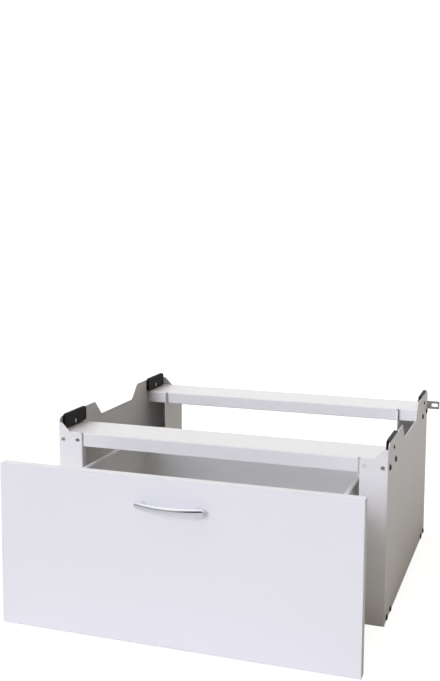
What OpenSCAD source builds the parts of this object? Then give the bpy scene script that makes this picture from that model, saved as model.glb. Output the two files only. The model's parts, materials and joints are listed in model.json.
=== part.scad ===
// Pedestal with a drawer for a free-standing washing machine.
// A frame of folded sheet steel carries the machine on two cross rails, between four raised ears.
// A drawer with a board front runs in it on ball-bearing telescopic slides.
// Millimetres. X is across, -Y is the front, Z is up from the floor.

/* [Frame] */
// Overall width over the side panels
body_w = 630; // [600:1:680]
// Depth over the front and rear flanges
body_d = 540; // [535:1:600]
// Height of the platform that the machine stands on
platform_h = 299; // [296:1:330]
// Thickness of the side panel sheet
panel_t = 1.2; // [0.8:0.1:1.6]
// Width of the front and rear flanges
flange_w = 50; // [46:1:56]
// Depth of the lip folded back from the front flange
front_lip = 15; // [13:1:20]
// Depth of the lip folded forward from the rear flange, which holds the slides
rear_lip = 110; // [106:1:125]
// Width of the flange folded in along the floor
foot_flange = 38; // [34:1:42]
// Inside radius of the sheet folds
fold_r = 1.2; // [0.8:0.1:2]

/* [Ears] */
// Height of the ears above the platform
ear_rise = 27; // [24:1:34]
// Length of an ear along its top
ear_l = 160; // [145:1:180]
// Run of the slope from an ear down to the waist
ear_slope = 30; // [24:1:40]
// Rounding of the ear's outer corner
ear_r = 10; // [6:1:14]
// Drop of the panel's waist below the platform
waist_drop = 3; // [2:0.5:6]
// Rise of the flange's corner, which is cut at 45 degrees
flange_rise = 18; // [14:1:20]

/* [Rails] */
// Thickness of the rail sheet
rail_t = 1.5; // [1.2:0.1:2]
// Depth of a top rail, front to back
top_rail_d = 100; // [95:1:120]
// Height of the apron that shows between the flanges
apron_h = 25.5; // [22:0.5:30]
// Gap between the apron's end and the flange
apron_gap = 2.5; // [1.5:0.5:4]
// Depth of a bottom rail
bottom_rail_d = 80; // [76:1:95]
// Height of a bottom rail
bottom_rail_h = 21; // [19:0.5:23]

/* [Drawer front] */
// Width of the front board
front_w = 630; // [600:1:680]
// Height of the front board
front_h = 285.6; // [270:0.1:288]
// Thickness of the front board
front_t = 18; // [16:1:22]
// Height of the board's lower edge above the floor
front_z = 5; // [4:0.5:8]
// Rounding of the board's edges
front_r = 1.5; // [0.5:0.1:3]
// Distance from the flanges to the board's back in the pose drawn
drawer_open = 198.6; // [2:0.1:440]
// The same distance with the drawer shut
front_gap = 2; // [2:0.1:4]

/* [Drawer box] */
// Depth of the drawer box behind the board
box_d = 480; // [470:1:500]
// Height of the box's underside above the floor
box_z = 30; // [28:0.5:34]
// Height of the box's side walls
box_h = 210; // [190:1:225]
// Thickness of the drawer's sheet
box_t = 1; // [0.8:0.1:1.2]
// Width of the rim folded in along the box's side walls
box_rim = 9; // [7:0.5:14]

/* [Slides] */
// Length of a closed slide
slide_l = 450; // [440:1:455]
// Height of the slides' centre line above the floor
slide_z = 85; // [75:1:150]
// Space between panel lip and drawer box that a slide fills
slide_w = 12.7; // [12.6:0.1:13.2]
// Radius of the balls
ball_r = 2; // [1.9:0.05:2.05]
// Play of the balls in their races
ball_play = 0.05; // [0.03:0.01:0.08]
// Pitch of the balls
ball_pitch = 30; // [20:1:40]
// Length of a ball strip
strip_l = 210; // [180:1:212]

/* [Handle] */
// Length of the handle's band
handle_l = 122; // [112:1:150]
// Distance between the handle's posts
handle_pitch = 96; // [80:1:100]
// How far the handle stands out from the board
handle_out = 27; // [24:1:36]
// Bow of the band from its ends to its middle
handle_bow = 14; // [8:1:16]
// Height of the band
handle_h = 12; // [10:0.5:16]
// Thickness of the band
handle_t = 4; // [3:0.5:5]
// Height of the handle's centre line above the floor
handle_z = 245; // [225:1:265]

/* [Rubber and fittings] */
// Thickness of the foot pads
foot_t = 2; // [1.5:0.1:3]
// Thickness of the side pads in the ears
pad_t = 6; // [5:0.5:9]
// Length of a side pad
pad_l = 92; // [80:1:110]
// Distance from the flange face to a side pad's end
pad_end = 14; // [12:1:20]
// How far a side pad stands above its ear
pad_proud = 3; // [1:0.5:5]
// Gap between the platform and a side pad
pad_lift = 2.3; // [2:0.1:4]
// Height of a wall bracket
bracket_h = 17.5; // [16:0.5:22]
// How far a wall bracket reaches beyond the side panel
bracket_out = 26; // [22:1:40]
// Thickness of a wall bracket
bracket_t = 2; // [1.5:0.1:3]

/* [Hidden] */
$fn = 48;

// Colours
paint_white = [0.9, 0.9, 0.92];
board_white = [0.93, 0.93, 0.95];
zinc = [0.72, 0.73, 0.74];
chrome = [0.82, 0.83, 0.85];
rubber_black = [0.08, 0.08, 0.08];
strip_grey = [0.45, 0.46, 0.48];

// Tiny overlap for cuts, and small clearance between pieces that only come close
eps = 0.01;
clear = 0.3;

// Frame lines
half_w = body_w / 2;
web_in = half_w - panel_t;
lip_x = half_w - flange_w;
floor_z = foot_t;
foot_l = 40;
foot_top = floor_z + panel_t;
fold_out = fold_r + panel_t;
ear_top = platform_h + ear_rise;
waist_z = platform_h - waist_drop;
flange_top = platform_h - 1;
flange_corner = flange_top + flange_rise;
flange_cut = 25;
lip_top = platform_h - rail_t - clear;
rail_bend = rail_t + fold_r;

// Fixings: shank radius, hole radius, head radius and head height
bolt_r = 2.95;
bolt_hole_r = 3.2;
bolt_head = [5.5, 2.8];
nut_flat = 10;
nut_h = 5;
nut_bore_r = 3;
nut_rim = [6.8, 1.2];
screw_r = 1.95;
tap_r = 1.98;
screw_hole_r = 2.15;
low_head = [3.8, 1.4];
pan_head = [4, 2.2];
rail_screw_r = 2.45;
rail_tap_r = 2.5;
rail_screw_head = [4, 1.6];
bracket_screw_head = [4.5, 2.2];

// Places of the fixings on a side panel: distance from the nearer flange face, height
top_bolt_z = platform_h - 17;
top_bolt_y = [17, 80];
bottom_bolt_z = 11;
bottom_bolt_y = [20, 60];
pad_screw_y = pad_end + pad_l / 2;
pad_screw_z = platform_h + 9;
rail_screw_x = half_w - 9.5;
rail_screw_z = platform_h - 15;
bracket_z = platform_h - 6.5;
bracket_screw_z = bracket_z - 2;
slot_x = lip_x + 10;
slot_size = [8.5, 6.5];
tab_x = lip_x + 3;
tab_h = 31;
leg_reach = 20;

// Bottom rail: it stands on the foot flange and passes under the notched lips
bottom_rail_z = foot_top;
bottom_rail_top = bottom_rail_z + bottom_rail_h;
notch_z = bottom_rail_top + 3;

// Drawer
box_half = lip_x - slide_w;
box_in = box_half - box_t;
box_top = box_z + box_h;
front_top = front_z + front_h;
board_screw_in = 50;
board_screw_up = 30;
board_screw_down = 25;
board_screw_x = box_half - board_screw_in;
board_screw_z = [box_z + board_screw_up, box_top - board_screw_down];
board_pilot_l = 14;
rivet_off_slide = [35, 45];
rivet_down = 30;
rivet_z = [slide_z - rivet_off_slide[0], slide_z + rivet_off_slide[1], box_top - rivet_down];
rivet_in = 9;
rim_h = 7;
corner_flange = 16;
buffer_t = front_gap - clear;
buffer_r = 5;
buffer_in = 14;

// Slide section: u runs from the panel lip to the drawer box, v is height from the centre line
slide_t = 1.2;
race_r = ball_r + ball_play;
ball_u = 6.9;
outer_ball_v = 19.4;
inner_ball_v = 13.4;
race_t = 1.2;
middle_u = 3;
middle_t = 1;
middle_arm = [outer_ball_v - 1.2, inner_ball_v + 1.2];
middle_reach = 10;
inner_u = slide_w - slide_t;
inner_arm = [inner_ball_v - 1.2, inner_ball_v - 4.4];
inner_reach = 5.3;
strip_t = 0.6;
strip_drop = 0.6;
slide_start = 3;
strip_start = 119;
slide_screw_v = [-10, 10];
slide_hole_in = [6, 12];
slide_slot_size = [10, 4.6];
outer_slot_y = [64, 128, 192, 256, 320, 384];
inner_slot_y = [64, 128, 352];
middle_hole_r = 2.5;
middle_hole_in = 14;
middle_start = 2;
stop_gap = 1;
stop_reach = 5;
stop_h = 16;
middle_l = slide_l - middle_start - slide_t - stop_gap;
inner_screw_in = [30, 40];
inner_screw_y = [inner_screw_in[0], slide_l / 2, slide_l - inner_screw_in[1]];
tray_screw_out = 0.8;

// Handle
band_r = (pow(handle_l / 2, 2) + pow(handle_bow, 2)) / (2 * handle_bow);
post_r = 5;
post_bore_l = 9;

// Wall bracket slot, for a wall screw
wall_slot = [14, 7];
wall_slot_x = half_w + 16;

// The origin is on the floor at the middle of the whole object as drawn
front_y = -(drawer_open + front_t + handle_out);
back_y = body_d + bracket_t + bracket_screw_head[1];
face_y = -(front_y + back_y) / 2;

// ---- Helpers ----

function unit(v) = v / norm(v);
function left_of(v) = [-v[1], v[0]];
function turned(v, a) = [v[0] * cos(a) - v[1] * sin(a), v[0] * sin(a) + v[1] * cos(a)];
function turn_side(p, q) = p[0] * q[1] - p[1] * q[0] > 0 ? 1 : -1;

// Points round one fold of a sheet. t is the thickness, positive to the left of the path.
// far is false on the path's side of the sheet and true on the other side.
function fold_points(a, b, c, t, r, far) =
  let (
    d1 = unit(b - a),
    d2 = unit(c - b),
    side = turn_side(d1, d2),
    angle = acos(d1 * d2),
    inside = side * t > 0,
    path_r = inside ? r + abs(t) : r,
    far_r = inside ? r : r + abs(t),
    arc_r = far ? far_r : path_r,
    centre = b - d1 * path_r * tan(angle / 2) + left_of(d1) * side * path_r,
    steps = 6
  )
  [for (i = [0:steps]) centre - turned(left_of(d1), side * angle * i / steps) * side * arc_r];

// Outline of a folded sheet that follows the path p
function sheet_outline(p, t, r) =
  let (
    last = len(p) - 1,
    end_step = left_of(unit(p[last] - p[last - 1])) * t,
    start_step = left_of(unit(p[1] - p[0])) * t,
    near = [for (i = [1:last - 1]) each fold_points(p[i - 1], p[i], p[i + 1], t, r, false)],
    far = [for (i = [last - 1:-1:1])
      let (f = fold_points(p[i - 1], p[i], p[i + 1], t, r, true))
      for (k = [len(f) - 1:-1:0]) f[k]]
  )
  concat([p[0]], near, [p[last], p[last] + end_step], far, [p[0] + start_step]);

// Closed outline with each corner rounded by its own radius
function rounded(p, radii) =
  let (n = len(p))
  [for (i = [0:n - 1])
    let (before = p[(i + n - 1) % n], after = p[(i + 1) % n])
    each radii[i] == 0 ? [p[i]] : fold_points(before, p[i], after, 0, radii[i], false)];

// A flat shape drawn in X and Z, extruded along Y
module along_y(y, length) {
  translate([0, y + length, 0]) rotate([90, 0, 0]) linear_extrude(length) children();
}

// A flat shape drawn in Y and Z, extruded along X
module along_x(x, length) {
  translate([x, 0, 0]) rotate([90, 0, 90]) linear_extrude(length) children();
}

// A round hole or shank along X or Y, starting at the given point
module bar_x(p, r, length) {
  translate(p) rotate([0, 90, 0]) cylinder(r = r, h = length);
}

module bar_y(p, r, length) {
  translate(p) rotate([-90, 0, 0]) cylinder(r = r, h = length);
}

// Domed head on the plane z = 0, size is radius and height
module domed_head(size) {
  edge = size[1] * 0.4;
  rise = size[1] - edge;
  ball = (pow(size[0], 2) + pow(rise, 2)) / (2 * rise);
  rotate_extrude() {
    square([size[0], edge]);
    intersection() {
      translate([0, size[1] - ball]) circle(r = ball, $fn = 96);
      square([size[0], size[1]]);
    }
  }
}

// Screw along +z: shank below the plane z = 0, head above it
module screw(shank_r, length, head) {
  domed_head(head);
  translate([0, 0, -length]) cylinder(r = shank_r, h = length + eps);
}

// Hexagon nut with a round rim at z = 0
module rim_nut(flat, height, bore_r, rim) {
  difference() {
    union() {
      cylinder(r = flat / sqrt(3), h = height, $fn = 6);
      cylinder(r = rim[0], h = rim[1]);
    }
    translate([0, 0, -eps]) cylinder(r = bore_r, h = height + 2 * eps);
  }
}

module both_sides() {
  children();
  mirror([1, 0, 0]) children();
}

// Copies from the front plane to the rear plane
module both_ends() {
  children();
  rear_end() children();
}

module rear_end() {
  translate([0, body_d, 0]) mirror([0, 1, 0]) children();
}

// Frame pieces are drawn with y = 0 on the front flanges, drawer pieces with y = 0 on the board's back
module in_frame() {
  translate([0, face_y, 0]) children();
}

module in_drawer() {
  translate([0, face_y - drawer_open, 0]) children();
}

// Slide pieces are drawn shut, and move by their share of the drawer's travel
module in_slide(share) {
  translate([0, face_y - share * (drawer_open - front_gap), 0]) children();
}

// ---- Side panels ----

// Top edge of the panel seen from the side, with a rounded ear at each end
function panel_side_outline() =
  let (
    ear_end = ear_l + ear_slope,
    low = floor_z - 1,
    corner_y = fold_out
  )
  rounded(
    [
      [-1, low], [-1, flange_corner], [corner_y, flange_corner], [corner_y, ear_top],
      [ear_l, ear_top], [ear_end, waist_z], [body_d - ear_end, waist_z], [body_d - ear_l, ear_top],
      [body_d - corner_y, ear_top], [body_d - corner_y, flange_corner], [body_d + 1, flange_corner],
      [body_d + 1, low]
    ],
    [0, 0, 0, ear_r, 4, 4, 4, 4, ear_r, 0, 0, 0]);

// Top edge of the flanges seen from the front
function flange_outline() =
  let (cut_x = half_w - flange_cut)
  [
    [lip_x - 1, floor_z - 1], [lip_x - 1, lip_top], [lip_x + fold_out, lip_top],
    [lip_x + fold_out, flange_top], [cut_x, flange_top], [cut_x + flange_rise, flange_corner],
    [web_in - fold_r, flange_corner], [web_in - fold_r, ear_top + 1],
    [half_w + 1, ear_top + 1], [half_w + 1, floor_z - 1]
  ];

module panel_fold() {
  linear_extrude(ear_top + 1)
    polygon(sheet_outline(
      [
        [lip_x, front_lip], [lip_x, 0], [half_w, 0],
        [half_w, body_d], [lip_x, body_d], [lip_x, body_d - rear_lip]
      ],
      panel_t, fold_r));
}

module foot_fold() {
  along_y(fold_out, body_d - 2 * fold_out)
    polygon(sheet_outline(
      [[half_w - foot_flange, floor_z], [half_w, floor_z], [half_w, floor_z + 20]],
      panel_t, fold_r));
}

// Everything drilled or punched in the right-hand side panel
module panel_holes() {
  both_ends() {
    for (y = top_bolt_y) bar_x([web_in - 1, y, top_bolt_z], bolt_hole_r, 4);
    for (y = bottom_bolt_y) bar_x([web_in - 1, y, bottom_bolt_z], bolt_hole_r, 4);
    bar_x([web_in - 1, pad_screw_y, pad_screw_z], screw_hole_r, 4);
    for (dx = [-1, 1])
      bar_y([slot_x + dx * (slot_size[0] - slot_size[1]) / 2, -1, rail_screw_z], slot_size[1] / 2, 3);
    translate([slot_x - (slot_size[0] - slot_size[1]) / 2, -1, rail_screw_z - slot_size[1] / 2])
      cube([slot_size[0] - slot_size[1], 3, slot_size[1]]);
  }
  bar_y([rail_screw_x, -1, rail_screw_z], rail_tap_r + 0.2, 3);
  rear_end() bar_y([rail_screw_x, -1, bracket_screw_z], rail_tap_r + 0.2, 3);
  for (v = slide_screw_v, y = slide_hole_y()) bar_x([lip_x - 1, y, slide_z + v], tap_r, 4);
}

function slide_hole_y() = [front_lip - slide_hole_in[0], slide_start + slide_l - slide_hole_in[1]];

module side_panel() {
  difference() {
    intersection() {
      union() {
        difference() {
          panel_fold();
          translate([half_w - foot_flange, fold_out, -eps])
            cube([foot_flange + 1, body_d - 2 * fold_out, floor_z + fold_out]);
        }
        foot_fold();
      }
      along_x(lip_x - 1, flange_w + 2) polygon(panel_side_outline());
      along_y(-1, body_d + 2) polygon(flange_outline());
    }
    both_ends() translate([lip_x - 1, panel_t, 0])
      cube([fold_out + 1.5, rear_lip + 1, notch_z]);
    panel_holes();
  }
}

module side_panel_right() {
  color(paint_white) in_frame() side_panel();
}

module side_panel_left() {
  color(paint_white) in_frame() mirror([1, 0, 0]) side_panel();
}

// ---- Cross rails ----

// Section of a top rail: apron, platform and rear leg with a stiffening return
function top_rail_path(front) =
  [
    [front, platform_h - (front == 0 ? apron_h : tab_h)], [front, platform_h],
    [top_rail_d, platform_h], [top_rail_d, platform_h - apron_h], [top_rail_d - 9, platform_h - apron_h]
  ];

// End leg of a rail, folded down against the side panel
module end_leg(reach, top, bottom, y, length) {
  along_y(y, length)
    polygon(sheet_outline([[web_in, bottom], [web_in, top], [web_in - reach, top]], rail_t, fold_r));
}

module top_rail() {
  apron_x = lip_x - apron_gap;
  tab_end = web_in - rail_bend;
  difference() {
    union() {
      along_x(-apron_x, 2 * apron_x) polygon(sheet_outline(top_rail_path(0), -rail_t, fold_r));
      both_sides() {
        along_x(tab_x, tab_end - tab_x) polygon(sheet_outline(top_rail_path(panel_t), -rail_t, fold_r));
        translate([apron_x - eps, panel_t + rail_bend, platform_h - rail_t])
          cube([tab_x - apron_x + 2 * eps, top_rail_d - panel_t - 2 * rail_bend, rail_t]);
        end_leg(leg_reach, platform_h, platform_h - tab_h,
          panel_t + rail_bend, top_rail_d - panel_t - 2 * rail_bend);
      }
    }
    both_sides() {
      for (y = top_bolt_y) bar_x([web_in - rail_t - 1, y, top_bolt_z], bolt_hole_r, 4);
      children();
    }
  }
}

module top_rail_front() {
  color(paint_white) in_frame() top_rail()
    bar_y([rail_screw_x, 0, rail_screw_z], rail_tap_r, 6);
}

module top_rail_rear() {
  color(paint_white) in_frame() rear_end() top_rail()
    bar_y([rail_screw_x, 0, bracket_screw_z], rail_tap_r + 0.2, 6);
}

module bottom_rail() {
  span = web_in - rail_bend;
  far_y = panel_t + bottom_rail_d;
  difference() {
    union() {
      along_x(-span, 2 * span)
        polygon(sheet_outline(
          [
            [panel_t, bottom_rail_z], [panel_t, bottom_rail_top],
            [far_y, bottom_rail_top], [far_y, bottom_rail_z]
          ],
          -rail_t, fold_r));
      both_sides()
        end_leg(leg_reach, bottom_rail_top, foot_top + fold_r + clear,
          panel_t + rail_bend, bottom_rail_d - 2 * rail_bend);
    }
    both_sides()
      for (y = bottom_bolt_y) bar_x([web_in - rail_t - 1, y, bottom_bolt_z], bolt_hole_r, 4);
  }
}

module bottom_rail_front() {
  color(paint_white) in_frame() bottom_rail();
}

module bottom_rail_rear() {
  color(paint_white) in_frame() rear_end() bottom_rail();
}

// ---- Frame fixings ----

// Places of the frame bolts on the right-hand panel: y, z
function bolt_places() =
  concat([for (y = top_bolt_y) [y, top_bolt_z]], [for (y = bottom_bolt_y) [y, bottom_bolt_z]]);

module frame_bolts() {
  color(rubber_black) in_frame() both_sides() both_ends()
    for (p = bolt_places())
      translate([half_w, p[0], p[1]]) rotate([0, 90, 0]) screw(bolt_r, 11, bolt_head);
}

module frame_nuts() {
  color(zinc) in_frame() both_sides() both_ends()
    for (p = bolt_places())
      translate([web_in - rail_t, p[0], p[1]]) rotate([0, -90, 0])
        rim_nut(nut_flat, nut_h, nut_bore_r, [min(nut_rim[0], p[1] - foot_top - clear), nut_rim[1]]);
}

module rail_screws() {
  color(chrome) in_frame() both_sides()
    translate([rail_screw_x, 0, rail_screw_z]) rotate([90, 0, 0]) screw(rail_screw_r, 9, rail_screw_head);
}

module foot_pads() {
  inset = 2;
  size = [foot_flange - 2 * inset, foot_l];
  color(rubber_black) in_frame() both_sides() both_ends()
    translate([half_w - foot_flange + inset, fold_out + inset, 0])
      linear_extrude(foot_t)
        polygon(rounded([[0, 0], [size[0], 0], size, [0, size[1]]], [4, 4, 4, 4]));
}

// ---- Side pads ----

module side_pad() {
  low = platform_h + pad_lift;
  high = ear_top + pad_proud;
  recess = 3.4;
  difference() {
    along_x(web_in - pad_t, pad_t)
      polygon(rounded(
        [[pad_end, low], [pad_end + pad_l, low], [pad_end + pad_l, high], [pad_end, high]],
        [3, 3, 6, 8]));
    bar_x([web_in - pad_t - 1, pad_screw_y, pad_screw_z], screw_hole_r, pad_t + 2);
    bar_x([web_in - pad_t - 1, pad_screw_y, pad_screw_z], 4.6, recess + 1);
  }
}

module side_pad_front_right() {
  color(rubber_black) in_frame() side_pad();
}

module side_pad_front_left() {
  color(rubber_black) in_frame() mirror([1, 0, 0]) side_pad();
}

module side_pad_rear_right() {
  color(rubber_black) in_frame() rear_end() side_pad();
}

module side_pad_rear_left() {
  color(rubber_black) in_frame() rear_end() mirror([1, 0, 0]) side_pad();
}

module side_pad_screws() {
  color(rubber_black) in_frame() both_sides() both_ends()
    translate([half_w, pad_screw_y, pad_screw_z]) rotate([0, 90, 0])
      screw(screw_r, panel_t + pad_t - 0.6, [3.5, 1.8]);
}

module side_pad_nuts() {
  color(zinc) in_frame() both_sides() both_ends()
    translate([web_in - pad_t + 3.4, pad_screw_y, pad_screw_z]) rotate([0, -90, 0])
      rim_nut(7, 2.8, tap_r, [4.1, 0.8]);
}

// ---- Wall brackets ----

module wall_bracket() {
  inner_x = rail_screw_x - 9;
  outer_x = half_w + bracket_out;
  low = bracket_z - bracket_h / 2;
  half_slot = (wall_slot[0] - wall_slot[1]) / 2;
  difference() {
    along_y(body_d, bracket_t)
      polygon(rounded(
        [[inner_x, low], [outer_x, low], [outer_x, low + bracket_h], [inner_x, low + bracket_h]],
        [6, 1.5, 1.5, 6]));
    bar_y([rail_screw_x, body_d - 1, bracket_screw_z], rail_tap_r + 0.2, bracket_t + 2);
    for (dx = [-half_slot, half_slot])
      bar_y([wall_slot_x + dx, body_d - 1, bracket_z], wall_slot[1] / 2, bracket_t + 2);
    translate([wall_slot_x - half_slot, body_d - 1, bracket_z - wall_slot[1] / 2])
      cube([2 * half_slot, bracket_t + 2, wall_slot[1]]);
  }
}

module wall_bracket_right() {
  color(zinc) in_frame() wall_bracket();
}

module wall_bracket_left() {
  color(zinc) in_frame() mirror([1, 0, 0]) wall_bracket();
}

module bracket_screws() {
  color(zinc) in_frame() both_sides()
    translate([rail_screw_x, body_d + bracket_t, bracket_screw_z]) rotate([-90, 0, 0])
      screw(rail_screw_r, bracket_t + panel_t + rail_t + 5, bracket_screw_head);
}

module bracket_nuts() {
  room = platform_h - rail_bend - clear - bracket_screw_z;
  color(zinc) in_frame() both_sides()
    translate([rail_screw_x, body_d - panel_t - rail_t, bracket_screw_z]) rotate([90, 0, 0])
      rim_nut(8, 4, rail_tap_r, [min(5.5, room), 1]);
}

// ---- Telescopic slides ----

module top_and_bottom() {
  children();
  mirror([0, 1]) children();
}

// The member fixed to the frame, with a race curled round each row of outer balls
module slide_outer_section() {
  race_out = race_r + race_t;
  translate([0, -outer_ball_v - slide_t]) square([slide_t, 2 * (outer_ball_v + slide_t)]);
  top_and_bottom() {
    translate([0, outer_ball_v]) square([ball_u - race_r - race_t / 2, slide_t]);
    intersection() {
      difference() {
        translate([ball_u, outer_ball_v]) circle(r = race_out);
        translate([ball_u, outer_ball_v]) circle(r = race_r);
      }
      translate([ball_u - race_out, outer_ball_v]) square([2 * race_out, race_out]);
    }
  }
}

// The member between, with a groove for the outer balls and one for the inner balls in each arm
module slide_middle_section() {
  translate([middle_u, -middle_arm[1]]) square([middle_t, 2 * middle_arm[1]]);
  top_and_bottom()
    difference() {
      translate([middle_u, middle_arm[1]]) square([middle_reach - middle_u, middle_arm[0] - middle_arm[1]]);
      translate([ball_u, outer_ball_v]) circle(r = race_r);
      translate([ball_u, inner_ball_v]) circle(r = race_r);
    }
}

// The member fixed to the drawer box, an open channel
module slide_inner_section() {
  translate([inner_u, -inner_arm[0]]) square([slide_t, 2 * inner_arm[0]]);
  top_and_bottom()
    difference() {
      translate([inner_reach, inner_arm[1]]) square([slide_w - inner_reach, inner_arm[0] - inner_arm[1]]);
      translate([ball_u, inner_ball_v]) circle(r = race_r);
    }
}

// Puts a section, drawn in u and v, against the lip of the right-hand panel
module along_slide(y, length) {
  translate([lip_x, 0, slide_z]) along_y(y, length) mirror([1, 0]) children();
}

// A slot with round ends along the web of a slide, centred on the given point
module slide_slot(p) {
  r = slide_slot_size[1] / 2;
  straight = slide_slot_size[0] - slide_slot_size[1];
  for (dy = [-straight / 2, straight / 2]) bar_x(p + [0, dy, 0], r, slide_t + 2);
  translate(p - [0, straight / 2, r]) cube([slide_t + 2, straight, slide_slot_size[1]]);
}

// Tab folded up from the web's rear end, which stops the middle member
module slide_stop() {
  end_y = slide_start + slide_l;
  translate([0, 0, slide_z - stop_h / 2]) linear_extrude(stop_h)
    polygon(sheet_outline(
      [[lip_x, end_y - 2 * stop_reach], [lip_x, end_y], [lip_x - stop_reach, end_y]],
      slide_t, slide_t / 2));
}

module slide_outer() {
  difference() {
    union() {
      along_slide(slide_start, slide_l) slide_outer_section();
      slide_stop();
    }
    for (v = slide_screw_v, y = slide_hole_y())
      bar_x([lip_x - slide_t - 1, y, slide_z + v], screw_hole_r, slide_t + 2);
    for (y = outer_slot_y) slide_slot([lip_x - slide_t - 1, slide_start + y, slide_z]);
  }
}

module slide_outer_right() {
  color(zinc) in_frame() slide_outer();
}

module slide_outer_left() {
  color(zinc) in_frame() mirror([1, 0, 0]) slide_outer();
}

module slide_fixing_screws() {
  color(zinc) in_frame() both_sides()
    for (v = slide_screw_v, y = slide_hole_y())
      translate([lip_x - slide_t, y, slide_z + v]) rotate([0, -90, 0])
        screw(screw_r, slide_t + panel_t + 3, low_head);
}

module slide_middle() {
  difference() {
    along_slide(slide_start + middle_start, middle_l) slide_middle_section();
    for (y = [middle_hole_in, middle_l - middle_hole_in])
      bar_x([lip_x - middle_u - middle_t - 1, slide_start + middle_start + y, slide_z],
        middle_hole_r, middle_t + 2);
  }
}

module slide_middle_right() {
  color(zinc) in_slide(0.5) slide_middle();
}

module slide_middle_left() {
  color(zinc) in_slide(0.5) mirror([1, 0, 0]) slide_middle();
}

// Places of the balls along a strip
function ball_places() =
  let (count = floor((strip_l - 4 * ball_r) / ball_pitch))
  [for (i = [0:count]) strip_start + strip_l / 2 + (i - count / 2) * ball_pitch];

// Upper and lower strip that space the balls of one race; low is the inner edge of the strips
module ball_strips(ball_v, low, high) {
  for (side = [-1, 1])
    difference() {
      translate([0, 0, slide_z]) along_y(strip_start, strip_l)
        translate([lip_x - high, side * (ball_v - strip_drop * (ball_v > 16 ? 1 : 0)) - strip_t / 2])
          square([high - low, strip_t]);
      for (y = ball_places())
        translate([lip_x - ball_u, y, slide_z + side * ball_v - 3]) cylinder(r = race_r, h = 6);
    }
}

module balls(ball_v) {
  for (side = [-1, 1], y = ball_places())
    translate([lip_x - ball_u, y, slide_z + side * ball_v]) sphere(r = ball_r);
}

module outer_ball_strips_right() {
  color(strip_grey) in_slide(0.25) ball_strips(outer_ball_v, ball_u - 3, ball_u + 3);
}

module outer_ball_strips_left() {
  color(strip_grey) in_slide(0.25) mirror([1, 0, 0]) ball_strips(outer_ball_v, ball_u - 3, ball_u + 3);
}

module outer_balls_right() {
  color(chrome) in_slide(0.25) balls(outer_ball_v);
}

module outer_balls_left() {
  color(chrome) in_slide(0.25) mirror([1, 0, 0]) balls(outer_ball_v);
}

module inner_ball_strips_right() {
  color(strip_grey) in_slide(0.75) ball_strips(inner_ball_v, ball_u - 2.6, ball_u + 2.6);
}

module inner_ball_strips_left() {
  color(strip_grey) in_slide(0.75) mirror([1, 0, 0]) ball_strips(inner_ball_v, ball_u - 2.6, ball_u + 2.6);
}

module inner_balls_right() {
  color(chrome) in_slide(0.75) balls(inner_ball_v);
}

module inner_balls_left() {
  color(chrome) in_slide(0.75) mirror([1, 0, 0]) balls(inner_ball_v);
}

module slide_inner() {
  difference() {
    along_slide(slide_start, slide_l) slide_inner_section();
    for (y = inner_screw_y)
      bar_x([lip_x - slide_w - 1, slide_start + y, slide_z], tap_r, slide_t + 2);
    for (y = inner_slot_y) slide_slot([lip_x - slide_w - 1, slide_start + y, slide_z]);
  }
}

module slide_inner_right() {
  color(zinc) in_slide(1) slide_inner();
}

module slide_inner_left() {
  color(zinc) in_slide(1) mirror([1, 0, 0]) slide_inner();
}

module slide_inner_screws() {
  color(zinc) in_slide(1) both_sides()
    for (y = inner_screw_y)
      translate([box_in, slide_start + y, slide_z]) rotate([0, -90, 0])
        screw(screw_r, box_t + slide_t + tray_screw_out, low_head);
}

// ---- Drawer box ----

module drawer_tray() {
  rim_x = box_half - box_rim;
  color(paint_white) in_drawer()
    difference() {
      along_y(0, box_d)
        polygon(sheet_outline(
          [
            [rim_x, box_top - rim_h], [rim_x, box_top], [box_half, box_top], [box_half, box_z],
            [-box_half, box_z], [-box_half, box_top], [-rim_x, box_top], [-rim_x, box_top - rim_h]
          ],
          -box_t, box_t));
      both_sides() {
        for (z = rivet_z, y = rivet_places()) bar_x([box_in - 1, y, z], screw_hole_r, 3);
        for (y = inner_screw_y)
          bar_x([box_in - 1, slide_start + front_gap + y, slide_z], screw_hole_r, 3);
      }
    }
}

function rivet_places() = [rivet_in, box_d - rivet_in];

// Cross wall of the box, drawn at the front and facing back.
// Its side flanges pass under the tray's rims, its own rim lies between them.
module cross_wall() {
  low = box_z + box_t;
  rim_half = box_half - box_rim - clear;
  relief = box_t + clear;
  difference() {
    union() {
      translate([0, 0, low]) linear_extrude(box_top - rim_h - clear - low)
        polygon(sheet_outline(
          [[-box_in, corner_flange], [-box_in, 0], [box_in, 0], [box_in, corner_flange]],
          box_t, box_t));
      along_x(-rim_half, 2 * rim_half)
        polygon(sheet_outline(
          [[0, low], [0, box_top], [box_rim, box_top], [box_rim, box_top - rim_h]],
          -box_t, box_t));
    }
    both_sides() {
      for (z = rivet_z) bar_x([box_in - box_t - 1, rivet_in, z], screw_hole_r, 3);
      translate([box_in - relief, -eps, low - eps])
        cube([relief + 1, corner_flange + 1, relief + eps]);
    }
    children();
  }
}

module drawer_back() {
  color(paint_white) in_drawer() translate([0, box_d, 0]) mirror([0, 1, 0]) cross_wall();
}

// The handle's screw heads bear on the board, and the wall is cut away round them where it is tall enough
module drawer_inner_front() {
  color(paint_white) in_drawer() cross_wall() {
    both_sides()
      for (z = board_screw_z) bar_y([board_screw_x, -1, z], screw_hole_r, 4);
    both_sides() bar_y([handle_pitch / 2, -1, handle_z], pan_head[0] + 0.5, 4);
  }
}

module drawer_rivets() {
  color(zinc) in_drawer() both_sides()
    for (z = rivet_z, y = rivet_places())
      translate([box_half, y, z]) rotate([0, 90, 0]) {
        screw(screw_r, 2 * box_t + 0.5, [3.6, 1.1]);
        translate([0, 0, -2 * box_t - 2.4]) cylinder(r = 2.6, h = 2.4);
      }
}

// ---- Drawer front ----

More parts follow.
